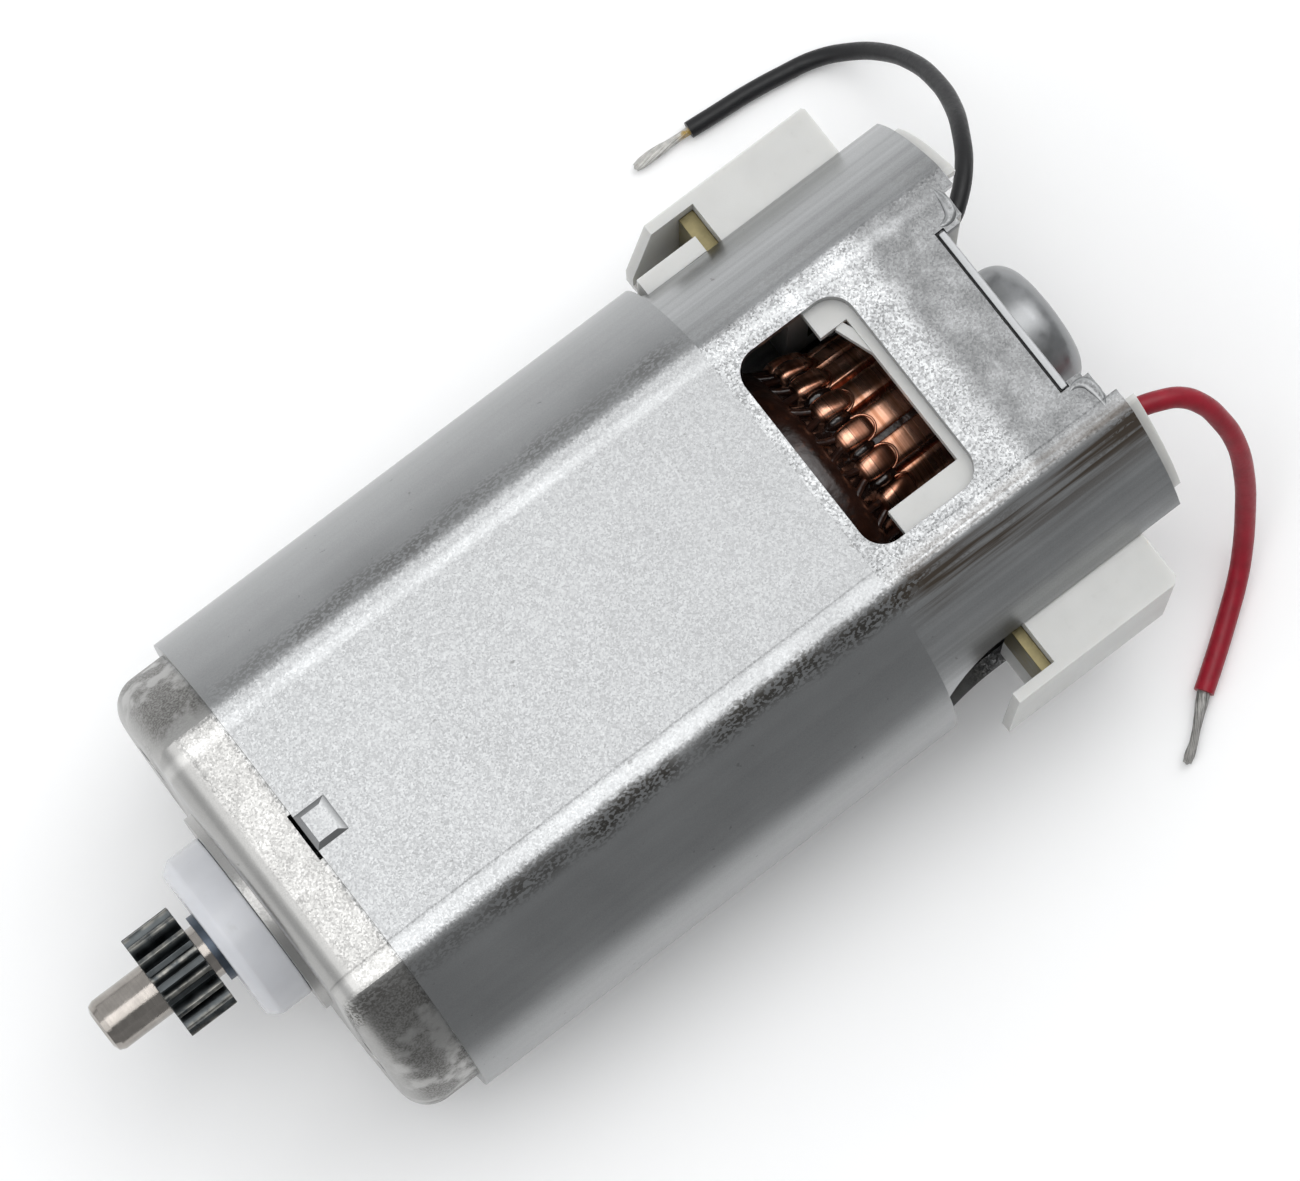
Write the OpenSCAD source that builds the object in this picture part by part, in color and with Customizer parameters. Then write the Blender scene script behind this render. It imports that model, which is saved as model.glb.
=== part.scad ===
// Flat-sided brushed DC motor with a flux ring, a pressed-on pinion and two flying leads.
// Frame: +X along the shaft towards the pinion, +Z up through the top flat, origin on the
// shaft axis at the face of the raised step that the locating collar seats on.

/* [Can] */
// Width across the round sides of the can
can_w = 35.5; // [35:0.1:36]
// Height across the two flats of the can
can_h = 28.8; // [28.4:0.1:29.2]
// Sheet thickness of the can
can_wall = 1.0; // [0.9:0.05:1.1]
// Outside radius of the bend between a flat and a round side
can_bend = 1.5; // [1.3:0.1:2]
// Outside radius where the front face turns into the sides
nose_bend = 2.3; // [2:0.1:2.6]
// Distance from the step face back to the open rear edge
can_rear = 66.0; // [65.8:0.1:66.2]
// Height of the raised step round the bearing boss
step_rise = 0.6; // [0.5:0.1:0.8]
// Radius of the raised step
step_r = 8.0; // [7.6:0.1:8.6]
// Spacing of the two mounting screw holes
screw_pitch = 25; // [24:0.5:26]
// Radius of a mounting screw hole
screw_hole_r = 1.5; // [1.3:0.1:1.6]
// Length of a window along the shaft
window_l = 9.0; // [8:0.1:9.2]
// Width of a window across the flat
window_w = 16.0; // [15:0.2:16.4]
// Corner radius of a window
window_corner = 1.8; // [1.2:0.1:2.5]
// Half height of the side slots that the brush boxes stand in
slot_half = 6.2; // [6.1:0.05:6.4]

/* [Flux ring] */
// Sheet thickness of the flux ring
ring_wall = 0.9; // [0.8:0.05:1]
// Length of the flux ring
ring_l = 40.1; // [39.5:0.1:40.3]
// Distance from the step face back to the front edge of the ring
ring_front = 5.5; // [5.3:0.1:5.9]
// Width of the locating dimple
dimple_w = 2.8; // [2.2:0.1:3.4]
// Height of the locating dimple over the ring
dimple_rise = 0.4; // [0.3:0.05:0.5]

/* [Shaft and pinion] */
// Shaft diameter
shaft_d = 4.0; // [3.9:0.05:4.1]
// Distance from the step face to the shaft tip
shaft_tip = 12.9; // [12.5:0.1:14]
// Number of pinion teeth
teeth = 16; // [15:1:17]
// Gear module of the pinion
gear_module = 0.45; // [0.43:0.01:0.47]
// Width of the pinion
pinion_w = 3.8; // [3.4:0.1:4]
// Distance from the step face to the pinion
pinion_back = 4.5; // [4.3:0.1:4.8]

/* [Front collar] */
// Diameter of the locating collar
collar_d = 13.0; // [12.6:0.1:13.4]
// Length of the locating collar
collar_l = 3.4; // [3.2:0.1:3.5]
// Chamfer on the front of the collar
collar_chamfer = 0.8; // [0.5:0.1:1]

/* [Armature] */
// Radius of the lamination stack
core_r = 11.1; // [10.8:0.1:11.2]
// Length of the lamination stack
core_l = 29; // [28:0.5:29.5]
// Radius over the wire hooks
hook_r = 8.9; // [8.6:0.1:9]

/* [Brush gear] */
// Distance from the axis to the outer face of a brush box
box_reach = 20.7; // [20.5:0.1:21]
// Half height of a brush box
box_half = 6.0; // [5.9:0.05:6.05]
// Brush size along the shaft
brush_l = 5.6; // [5.4:0.1:5.7]
// Brush size around the commutator
brush_w = 5.2; // [5:0.1:5.3]

/* [Rear plate] */
// Width of the rear plate
plate_w = 13.4; // [13.2:0.1:13.8]
// Thickness of the rear plate
plate_t = 0.55; // [0.5:0.05:0.65]

/* [Leads] */
// Outside diameter of the black lead
black_d = 1.3; // [1.2:0.05:1.4]
// Outside diameter of the red lead
red_d = 1.5; // [1.4:0.05:1.6]

/* [Hidden] */
$fn = 72;
eps = 0.01;
big = 60;

// Can, all measured from the shaft axis and from the step face
can_r = can_w / 2;
can_z = can_h / 2;
face_x = -step_rise;
cavity_x = face_x - can_wall;
rear_x = -can_rear;
inner_r = can_r - can_wall;
inner_z = can_z - can_wall;
inner_bend = can_bend - can_wall;
window_rear_x = -55.6;
window_y = window_w / 2;
slot_tip_x = -44.5;
notch_gap = 0.1;
notch_x = -62.9;
notch_y = plate_w / 2 + notch_gap;
shoulder_y = 8.8;
shoulder_x = -65.2;
ear_w = 0.4;
ear_l = 1.1;
slit_front_x = -5.25;
slit_l = 3;
slit_half = 1.8;
rear_gap_x = -62.9;
rear_gap_low = -11;
rear_gap_y = 9.6;
boss_r = 4.6;
boss_bore = 3.8;
boss_l = 2.9;
boss_lip = 0.6;
boss_hole = 2.75;

// Flux ring
ring_x = -ring_front;
ring_rear_x = ring_x - ring_l;
ring_r = can_r + ring_wall;
ring_z = can_z + ring_wall;
ring_bend = can_bend + ring_wall;
floor_z = -ring_z;
seam_gap = 0.2;
dimple_l = 2.5;
dimple_chamfer = 0.25;

// Magnets and their clips
magnet_x = -8;
magnet_l = 35;
magnet_r = inner_r - 0.05;
magnet_bore = 11.6;
magnet_half = 50;
clip_x = -10;
clip_l = 31;
clip_t = 0.5;
clip_foot = 12.2;
clip_knee = 16.0;
clip_y = 9.4;
clip_top = inner_z - 0.1;
clip_edge_angle = magnet_half + 0.4;
clip_knee_in = [clip_knee - 0.6, magnet_half + 2.4];
clip_foot_in = [clip_foot, magnet_half + 2.6];
clip_lean = 0.4;

// Shaft and bearings
shaft_r = shaft_d / 2;
running = 0.02;
bush_bore = shaft_r + running;
seat_r = shaft_r + 0.03;
tip_round = 0.6;
tail_chamfer = 0.3;
tail_x = -66.8;
pinion_x = pinion_back + pinion_w;
bush_nose_r = 2.6;
bush_nose_x = 3.9;
bush_rear_x = -2.2;
pressure_angle = 20;
flank_steps = 5;
pitch_r = gear_module * teeth / 2;
tip_r = pitch_r + gear_module;
root_r = pitch_r - 1.25 * gear_module;
base_r = pitch_r * cos(pressure_angle);
collar_slope = 0.8 * collar_chamfer;
collar_bore = bush_nose_r + 0.1;

// Armature
slots = 10;
bars = 20;
comm_r = 7.8;
core_rear_x = -43;
core_x = core_rear_x + core_l;
sheet_t = 0.5;
tooth_half = 1.2;
slot_root = 5.2;
slot_top = 9.8;
slot_mouth = 1.6;
winding_gap = 0.1;
winding_r = 10.2;
winding_root = 4.2;
winding_front_x = -8.8;
winding_rear_x = -49.2;
winding_round = 2.2;
bar_phase = 83.4;
bar_gap = 0.5;
bar_t = 1.3;
bar_x = -61.0;
hook_x = -49.9;
hook_w = 1.7;
hook_rear_x = -52.6;
hook_front = 0.9;
hook_drop = 0.5;
hook_heel = 0.4;
hook_foot = 0.6;
hub_x = -50.1;
hub_rear_x = -61.5;
hub_collar_r = 7.6;
spacer_x = -3.1;
spacer_r = 3.2;
spacer_gap = 0.3;
washer_x = -3.0;
washer_r = 3.4;
rear_washer_x = -62.3;
rear_washer_r = 2.8;
washer_gap = 0.1;

// Brush gear
brush_x = -57.7;
brush_gap = 0.05;
brush_tail = 15.6;
tube_wall = 0.35;
tube_clear = 0.05;
tube_y = 9.3;
tube_end = 19.8;
tube_floor = 0.4;
spring_r = 1.9;
spring_wire = 0.2;
spring_turns = 3.5;
spring_end = 19.3;
box_x = -52.65;
box_l = 10.1;
box_root = 9.3;
box_chamfer = 0.4;
box_edge = 0.2;
lip_t = 0.8;
lip_x = -49.1;
lip_left_x = -48.9;
lip_right_x = -47.4;
rail_x = -46.4;
rail_rear_x = -51.4;
rail_y = 16.7;
rail_t = 1.3;
tray_floor = 1.0;
ledge_z = -1.4;
blade_y = 16.0;
terminal_t = 0.85;
terminal_half = 4.4;

// Brush carrier
cap_x = -61.8;
cap_rear_x = -63.1;
cap_fit = 0.05;
cap_hole = 6.6;
dish_x = -65.2;
rim_x = -66.9;
rim_t = 1.3;
bridge_t = 1.0;
bridge_x = -54.9;
bridge_y = 8.6;
arm_y = 6.0;
arm_left_x = -49.1;
arm_right_x = -52.75;
finger = [[-53.9, -5.9], [-55.2, -2.3], [-55.6, -2.3], [-55.6, -3.6], [-54.5, -6.2]];

// Rear plate and bearing
plate_x = -63.1;
plate_z = can_z - 0.1;
dome_r = 5.2;
dome_t = 0.9;
dome_x = -68.0;
dome_round = 2.0;
rear_bush_r = 4.2;
rear_bush_x = -64.2;
rear_bush_end = -66.9;
rear_bush_nose = 2.9;
rear_nose_l = 1.5;
retainer_r = 6.3;
retainer_t = 0.4;
retainer_bore = rear_bush_nose + 0.1;
retainer_slots = 6;
retainer_slot_w = 1.0;
retainer_slot_l = 2.0;

// Leads: each route runs from the carrier to the end of the insulation
black_path = [[-65.2, -8.6, 3.0], [-66.4, -8.8, 3.0], [-67.7, -9.6, 2.9], [-69.5, -11.3, 2.4],
    [-71.1, -13.6, 0.8], [-72.4, -16.1, -2.0], [-73.1, -18.7, -5.0], [-73.2, -21.2, -7.9],
    [-72.5, -23.6, -10.7], [-71.0, -25.6, -13.1], [-69.0, -26.9, -14.4], [-66.3, -27.5, -14.6],
    [-63.5, -27.9, -14.6], [-61.0, -28.1, -14.6], [-58.7, -28.3, -14.6]];
red_path = [[-65.2, 8.9, 3.0], [-66.8, 9.0, 3.0], [-68.4, 9.3, 3.0], [-69.9, 9.8, 2.9],
    [-71.2, 10.4, 2.4], [-72.3, 11.5, 1.3], [-73.0, 13.0, -0.6], [-73.3, 14.5, -2.8],
    [-73.0, 16.3, -6.1], [-72.0, 18.2, -9.8], [-70.3, 20.3, -12.8], [-69.1, 21.4, -13.7],
    [-67.8, 22.4, -14.2], [-65.0, 24.4, -14.5], [-62.6, 26.0, -14.5]];
black_tip = [[-58.7, -28.3, -14.6], [-58.2, -28.3, -14.6], [-55.2, -28.5, -14.6],
    [-54.0, -28.5, -14.7]];
red_tip = [[-62.6, 26.0, -14.5], [-62.2, 26.3, -14.5], [-59.8, 28.4, -14.5],
    [-58.6, 29.4, -14.6]];
tip_radii = [0.4, 0.45, 0.45, 0.3];
lead_sides = 8;

// ---------- shared shapes ----------

// Extrudes a Y-Z outline along X
module along_x(x0, x1) {
    translate([min(x0, x1), 0, 0])
        rotate([90, 0, 90])
            linear_extrude(abs(x1 - x0))
                children();
}

// Turns an outline of (radius, X) about the shaft axis
module spin() {
    rotate([0, 90, 0])
        rotate_extrude()
            children();
}

// Extrudes an X-Z outline both ways along Y
module across_y(width) {
    rotate([90, 0, 0])
        linear_extrude(width, center = true)
            children();
}

// A plain ring or disc about the shaft axis
module collar_ring(x0, x1, r_out, r_in) {
    spin()
        translate([r_in, min(x0, x1)])
            square([r_out - r_in, abs(x1 - x0)]);
}

// Circle cut by two flats, with the four corners bent to a radius
module flat_round(r, z, bend) {
    bend_y = sqrt(pow(r - bend, 2) - pow(z - bend, 2));
    arc_z = (z - bend) * r / (r - bend);
    intersection() {
        circle(r);
        square([2 * r + 1, 2 * arc_z], center = true);
    }
    square([2 * bend_y, 2 * z], center = true);
    for (sy = [-1, 1], sz = [-1, 1])
        translate([sy * bend_y, sz * (z - bend)])
            circle(bend);
}

// Mirrors its children to the other side of the shaft when side is -1
module on_side(side) {
    if (side > 0)
        children();
    else
        mirror([0, 1, 0])
            children();
}

function unit(v) = v / norm(v);

// Direction of a route at point i: straight out of the start, else between its neighbours
function route_dir(path, i) =
    i == 0 ? unit(path[1] - path[0])
    : i == len(path) - 1 ? unit(path[i] - path[i - 1])
    : unit(path[i + 1] - path[i - 1]);

function ring_at(p, dir, r) =
    let (a = unit(cross(dir, [0, 0, 1])), b = cross(a, dir), step = 360 / lead_sides)
    [for (k = [0 : lead_sides - 1]) p + r * (cos(step * k) * a + sin(step * k) * b)];

// Sweeps a tube of the given radii along a route
module route_tube(path, radii, first_dir) {
    n = len(path);
    s = lead_sides;
    points = [for (i = [0 : n - 1])
        let (dir = i == 0 ? first_dir : route_dir(path, i))
        each ring_at(path[i], dir, radii[i])];
    walls = [for (i = [0 : n - 2], k = [0 : s - 1])
        let (a = i * s + k, b = i * s + (k + 1) % s)
        each [[a, b, b + s], [a, b + s, a + s]]];
    start_cap = [for (k = [s - 1 : -1 : 0]) k];
    end_cap = [for (k = [0 : s - 1]) (n - 1) * s + k];
    polyhedron(points = points, faces = concat(walls, [start_cap, end_cap]));
}

// ---------- can and flux ring ----------

// Solid outline of the can, rounded where the front face meets the sides
module can_block(r, z, bend, nose, x0, x1) {
    intersection() {
        along_x(x0, x1)
            flat_round(r, z, bend);
        spin() {
            translate([0, x0])
                square([r, x1 - x0 - nose]);
            translate([0, x0])
                square([r - nose, x1 - x0]);
            translate([r - nose, x1 - nose])
                circle(nose);
        }
        across_y(big) {
            translate([x0, -z])
                square([x1 - x0 - nose, 2 * z]);
            translate([x0, nose - z])
                square([x1 - x0, 2 * (z - nose)]);
            for (sz = [-1, 1])
                translate([x1 - nose, sz * (z - nose)])
                    circle(nose);
        }
    }
}

module window_cut() {
    half_l = window_l / 2;
    translate([window_rear_x + half_l, 0, -big])
        linear_extrude(2 * big) {
            square([window_l - 2 * window_corner, window_w], center = true);
            square([window_l, window_w - 2 * window_corner], center = true);
            for (sx = [-1, 1], sy = [-1, 1])
                translate([sx * (half_l - window_corner), sy * (window_y - window_corner)])
                    circle(window_corner);
        }
}

module side_slots() {
    across_y(big) {
        translate([slot_tip_x - slot_half, 0])
            circle(slot_half);
        translate([rear_x - 1, -slot_half])
            square([slot_tip_x - slot_half - rear_x + 1, 2 * slot_half]);
    }
}

module rear_notches() {
    translate([rear_x - 1, -notch_y, -big])
        cube([notch_x - rear_x + 1, 2 * notch_y, 2 * big]);
    translate([rear_x - 1, -shoulder_y, -big])
        cube([shoulder_x - rear_x + 1, 2 * shoulder_y, 2 * big]);
}

// Staked corners that close over the rear plate in its notches
module can_ears() {
    for (sy = [-1, 1], sz = [-1, 1])
        scale([1, sy, sz])
            translate([plate_x - plate_t - ear_l, notch_y - ear_w, inner_z])
                cube([ear_l, ear_w + eps, can_wall]);
}

// Cut under the round sides behind the brush boxes, from outside y0
module rear_side_gaps(y0) {
    for (sy = [-1, 1])
        scale([1, sy, 1])
            translate([rear_x - big, y0, rear_gap_low])
                cube([rear_gap_x - rear_x + big, big, slot_half - rear_gap_low]);
}

module can() {
    color("lightsteelblue") {
        difference() {
            union() {
                can_block(can_r, can_z, can_bend, nose_bend, rear_x, face_x);
                collar_ring(face_x - eps, 0, step_r, 0);
                collar_ring(0, boss_l, boss_r, 0);
            }
            can_block(inner_r, inner_z, inner_bend, nose_bend - can_wall, rear_x - 1, cavity_x);
            collar_ring(cavity_x - eps, cavity_x + step_rise, step_r - can_wall, 0);
            collar_ring(cavity_x, boss_l - boss_lip, boss_bore, 0);
            collar_ring(cavity_x, boss_l + 1, boss_hole, 0);
            for (sy = [-1, 1])
                translate([cavity_x - 1, sy * screw_pitch / 2, 0])
                    rotate([0, 90, 0])
                        cylinder(r = screw_hole_r, h = 3);
            window_cut();
            side_slots();
            rear_side_gaps(rear_gap_y);
            rear_notches();
            translate([slit_front_x - slit_l, -slit_half, can_z - 2 * can_wall])
                cube([slit_l, 2 * slit_half, 3 * can_wall]);
        }
        can_ears();
    }
}

// Raised pocket that keys the ring to the slit in the can
module dimple() {
    across_y(dimple_w)
        polygon([
            [ring_x, ring_z - eps],
            [ring_x, ring_z + dimple_rise],
            [ring_x - dimple_l + dimple_chamfer, ring_z + dimple_rise],
            [ring_x - dimple_l, ring_z - eps]
        ]);
}

module flux_ring() {
    color("silver") {
        difference() {
            along_x(ring_rear_x, ring_x)
                flat_round(ring_r, ring_z, ring_bend);
            along_x(ring_rear_x - 1, ring_x + 1)
                flat_round(can_r, can_z, can_bend);
            translate([ring_rear_x - 1, -seam_gap / 2, floor_z - 1])
                cube([ring_l + 2, seam_gap, 3]);
        }
        dimple();
    }
}

// ---------- magnets ----------

module magnet() {
    color("dimgray")
        along_x(magnet_x - magnet_l, magnet_x)
            intersection() {
                difference() {
                    circle(magnet_r);
                    circle(magnet_bore);
                }
                polygon([
                    [0, 0],
                    [big * cos(magnet_half), big * sin(magnet_half)],
                    [big, 0],
                    [big * cos(magnet_half), -big * sin(magnet_half)]
                ]);
            }
}

module magnet_left() {
    magnet();
}

module magnet_right() {
    on_side(-1)
        magnet();
}

function polar(r, a) = [r * cos(a), r * sin(a)];

// Bent strip that pushes the two magnets apart
module magnet_clip() {
    foot = polar(clip_foot, clip_edge_angle);
    knee = polar(clip_knee, clip_edge_angle);
    knee_in = polar(clip_knee_in[0], clip_knee_in[1]);
    foot_in = polar(clip_foot_in[0], clip_foot_in[1]);
    half = [foot, knee, [clip_y, clip_top]];
    half_in = [[clip_y - clip_lean, clip_top - clip_t], knee_in, foot_in];
    color("slategray")
        along_x(clip_x - clip_l, clip_x)
            polygon(concat(
                half,
                [for (p = [half[2], half[1], half[0]]) [-p[0], p[1]]],
                [for (p = [half_in[2], half_in[1], half_in[0]]) [-p[0], p[1]]],
                half_in
            ));
}

module magnet_clip_top() {
    magnet_clip();
}

module magnet_clip_bottom() {
    mirror([0, 0, 1])
        magnet_clip();
}

// ---------- front end ----------

module front_collar() {
    r = collar_d / 2;
    color("white")
        spin()
            polygon([
                [boss_r, 0],
                [r, 0],
                [r, collar_l - collar_chamfer],
                [r - collar_slope, collar_l],
                [collar_bore, collar_l],
                [collar_bore, boss_l],
                [boss_r, boss_l]
            ]);
}

module front_bearing() {
    color("darkslategray") {
        collar_ring(bush_rear_x, boss_l - boss_lip, boss_bore, bush_bore);
        collar_ring(boss_l - boss_lip - eps, bush_nose_x, bush_nose_r, bush_bore);
    }
}

// ---------- rear end ----------

// Both bridges over the commutator, with the arms seen through the windows
module carrier_bridge() {
    translate([cap_x, -bridge_y, inner_z - cap_fit - bridge_t])
        cube([bridge_x - cap_x, 2 * bridge_y, bridge_t]);
    translate([bridge_x, arm_y, inner_z - cap_fit - bridge_t])
        cube([arm_left_x - bridge_x, bridge_y - arm_y, bridge_t]);
    translate([bridge_x, -bridge_y, inner_z - cap_fit - bridge_t])
        cube([arm_right_x - bridge_x, bridge_y - arm_y, bridge_t]);
    translate([0, 0, inner_z - cap_fit - bridge_t])
        linear_extrude(bridge_t * 0.8)
            polygon(finger);
}

// Plastic box round one brush tube, drawn for the left side
module brush_box(chamfer) {
    difference() {
        translate([0, 0, -box_half])
            linear_extrude(2 * box_half)
                polygon([
                    [box_x, box_root],
                    [box_x, box_reach],
                    [box_x - box_l + chamfer, box_reach],
                    [box_x - box_l, box_reach - chamfer],
                    [box_x - box_l, box_root]
                ]);
        tube_block(tube_y - 1);
    }
}

// Outside of a brush tube, from y0 to its closed end
module tube_block(y0) {
    half_x = brush_l / 2 + tube_clear + tube_wall;
    half_z = brush_w / 2 + tube_clear + tube_wall;
    translate([brush_x - half_x, y0, -half_z])
        cube([2 * half_x, tube_end - y0, 2 * half_z]);
}

// Outer lip that runs forward from a box; its front goes from lip_x at the top to low_x
module box_lip(low_x) {
    translate([0, box_reach, 0])
        rotate([90, 0, 0])
            linear_extrude(lip_t)
                polygon([
                    [box_x - eps, -box_half],
                    [low_x, -box_half],
                    [low_x, -box_half / 2],
                    [lip_x, box_half],
                    [box_x - eps, box_half]
                ]);
}

// Ledge that the left blade stands on
module left_ledge() {
    translate([box_x - eps, blade_y, -box_half])
        cube([terminal_t + eps, box_reach - blade_y, ledge_z + box_half]);
}

module right_tray() {
    translate([rail_rear_x, rail_y, -box_half])
        cube([rail_x - rail_rear_x, rail_t, 2 * box_half]);
    translate([box_x - eps, rail_y, -box_half])
        cube([lip_right_x - box_x, box_reach - rail_y, tray_floor]);
}

// Recessed end of the carrier on both sides of the rear plate
module carrier_end() {
    difference() {
        along_x(rim_x, cap_x)
            flat_round(inner_r - cap_fit, inner_z - cap_fit, inner_bend);
        along_x(rim_x - 1, dish_x)
            flat_round(inner_r - rim_t, inner_z - rim_t, inner_bend);
        translate([rim_x - 1, -notch_y, -big])
            cube([cap_rear_x - rim_x + 1, 2 * notch_y, 2 * big]);
        translate([rim_x - 1, -rear_gap_y, -big])
            cube([dish_x - rim_x + 1, 2 * rear_gap_y, 2 * big]);
        rear_side_gaps(rear_gap_y);
        collar_ring(cap_rear_x - 1, cap_x + 1, cap_hole, 0);
    }
}

module brush_carrier() {
    color("ivory") {
        carrier_end();
        for (sz = [0, 1])
            mirror([0, 0, sz])
                carrier_bridge();
        brush_box(box_chamfer);
        box_lip(lip_left_x);
        left_ledge();
        on_side(-1) {
            brush_box(box_edge);
            box_lip(lip_right_x);
            right_tray();
        }
    }
}

module rear_plate() {
    back_x = plate_x - plate_t;
    color("silver")
        difference() {
            union() {
                translate([back_x, -plate_w / 2, -plate_z])
                    cube([plate_t, plate_w, 2 * plate_z]);
                spin() {
                    translate([0, dome_x + dome_round])
                        square([dome_r, back_x - dome_x - dome_round + eps]);
                    translate([0, dome_x])
                        square([dome_r - dome_round, dome_round + eps]);
                    translate([dome_r - dome_round, dome_x + dome_round])
                        circle(dome_round);
                }
            }
            spin() {
                translate([0, dome_x + dome_t])
                    square([dome_r - dome_t, plate_x - dome_x - dome_t + 1]);
            }
        }
}

module rear_bearing() {
    mid_x = (rear_bush_x + rear_bush_end) / 2;
    color("peru")
        spin() {
            intersection() {
                translate([bush_bore, rear_bush_end])
                    square([rear_bush_r - bush_bore, rear_bush_x - rear_bush_end]);
                translate([0, mid_x])
                    circle(rear_bush_r);
            }
            translate([bush_bore, rear_bush_x - eps])
                square([rear_bush_nose - bush_bore, rear_nose_l]);
        }
}

module bearing_retainer() {
    color("gainsboro")
        difference() {
            collar_ring(plate_x + retainer_t, plate_x, retainer_r, retainer_bore);
            for (k = [0 : retainer_slots - 1])
                rotate([360 * k / retainer_slots, 0, 0])
                    translate([plate_x - 1, -retainer_slot_w / 2, rear_bush_nose])
                        cube([2, retainer_slot_w, retainer_slot_l]);
        }
}

module brush_tube() {
    bore_l = brush_l + 2 * tube_clear;
    bore_w = brush_w + 2 * tube_clear;
    color("goldenrod")
        difference() {
            tube_block(tube_y);
            translate([brush_x - bore_l / 2, tube_y - 1, -bore_w / 2])
                cube([bore_l, tube_end - tube_floor - tube_y + 1, bore_w]);
        }
}

module brush_tube_left() {
    brush_tube();
}

module brush_tube_right() {
    on_side(-1)
        brush_tube();
}

// Brass blade that stands beside the box and carries the lead
module terminal_left() {
    terminal_blade(blade_y, terminal_t, ledge_z);
}

module terminal_right() {
    on_side(-1)
        terminal_blade(rail_y, rail_rear_x - box_x, -box_half + tray_floor);
}

// A blade from y0 to the lip of its box, standing at height foot
module terminal_blade(y0, length, foot) {
    color("goldenrod")
        translate([box_x, y0, foot])
            cube([length, box_reach - lip_t - y0, terminal_half - foot]);
}

// Coil spring behind a brush, swept as one closed tube
module brush_spring() {
    steps = 12;
    wire_sides = 6;
    n = steps * spring_turns;
    y0 = brush_tail + spring_wire;
    rise = spring_end - spring_wire - y0;
    points = [for (i = [0 : n], k = [0 : wire_sides - 1])
        let (
            a = 360 * i / steps,
            b = 360 * k / wire_sides,
            r = spring_r + spring_wire * cos(b)
        )
        [brush_x + r * cos(a), y0 + rise * i / n + spring_wire * sin(b), r * sin(a)]];
    walls = [for (i = [0 : n - 1], k = [0 : wire_sides - 1])
        let (a = i * wire_sides + k, b = i * wire_sides + (k + 1) % wire_sides)
        each [[a, b, b + wire_sides], [a, b + wire_sides, a + wire_sides]]];
    start_cap = [for (k = [wire_sides - 1 : -1 : 0]) k];
    end_cap = [for (k = [0 : wire_sides - 1]) n * wire_sides + k];
    color("gray")
        polyhedron(points = points, faces = concat(walls, [start_cap, end_cap]));
}

module brush_spring_left() {
    brush_spring();
}

module brush_spring_right() {
    on_side(-1)
        brush_spring();
}

// Carbon block, hollowed to the commutator
module brush() {
    color("dimgray")
        difference() {
            translate([brush_x - brush_l / 2, 0, -brush_w / 2])
                cube([brush_l, brush_tail, brush_w]);
            collar_ring(brush_x - brush_l, brush_x + brush_l, comm_r + brush_gap, 0);
        }
}

module brush_left() {
    brush();
}

module brush_right() {
    on_side(-1)
        brush();
}

// ---------- leads ----------

module lead_black() {
    color("black")
        route_tube(black_path, [for (p = black_path) black_d / 2], [-1, 0, 0]);
}

module lead_red() {
    color("crimson")
        route_tube(red_path, [for (p = red_path) red_d / 2], [-1, 0, 0]);
}

module lead_tip_black() {
    last = len(black_path) - 1;
    color("lightgray")
        route_tube(black_tip, tip_radii, route_dir(black_path, last));
}

module lead_tip_red() {
    last = len(red_path) - 1;
    color("lightgray")
        route_tube(red_tip, tip_radii, route_dir(red_path, last));
}

// ---------- armature ----------

module shaft() {
    color("whitesmoke")
        spin()
            polygon([
                [0, tail_x],
                [shaft_r - tail_chamfer, tail_x],
                [shaft_r, tail_x + tail_chamfer],
                [shaft_r, pinion_back],
                [seat_r, pinion_back],
                [seat_r, pinion_x],
                [shaft_r, pinion_x],
                [shaft_r, shaft_tip - tip_round],
                [shaft_r - 0.3 * tip_round, shaft_tip - 0.3 * tip_round],
                [shaft_r - tip_round, shaft_tip],
                [0, shaft_tip]
            ]);
}

function involute(r) =
    let (a = acos(min(1, base_r / r)))
    tan(a) * 180 / PI - a;

// Half the angle that a tooth covers at radius r
function tooth_half_angle(r) = 90 / teeth + involute(pitch_r) - involute(max(r, base_r));

function flank_r(i) = root_r + (tip_r - root_r) * i / flank_steps;

// Point i on one flank of tooth t
function flank_point(t, i, side) =
    let (r = flank_r(i))
    polar(r, 360 * t / teeth + side * tooth_half_angle(r));

module pinion() {
    outline = [for (t = [0 : teeth - 1]) each concat(
        [for (i = [0 : flank_steps]) flank_point(t, i, -1)],
        [for (i = [flank_steps : -1 : 0]) flank_point(t, i, 1)]
    )];
    color("darkslategray")
        along_x(pinion_back, pinion_x)
            difference() {
                polygon(outline);
                circle(seat_r);
            }
}

// One winding slot in the lamination outline, shrunk by a gap
module slot_shape(gap) {
    function half_at(r) = r * sin(180 / slots) - tooth_half - gap;
    polygon([
        [slot_root + gap, -half_at(slot_root + gap)],
        [slot_top - gap, -half_at(slot_top - gap)],
        [slot_top - gap, half_at(slot_top - gap)],
        [slot_root + gap, half_at(slot_root + gap)]
    ]);
}

module lamination(r) {
    difference() {
        circle(r);
        circle(shaft_r);
        for (k = [0 : slots - 1])
            rotate(360 * (k + 0.5) / slots) {
                slot_shape(0);
                translate([slot_top - eps, -slot_mouth / 2])
                    square([3, slot_mouth]);
            }
    }
}

module armature_core() {
    color("gray")
        along_x(core_rear_x, core_x)
            lamination(core_r);
}

module insulator_front() {
    color("seagreen")
        along_x(core_x, core_x + sheet_t)
            lamination(core_r - sheet_t);
}

module insulator_rear() {
    color("seagreen")
        along_x(core_rear_x - sheet_t, core_rear_x)
            lamination(core_r - sheet_t);
}

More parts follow.
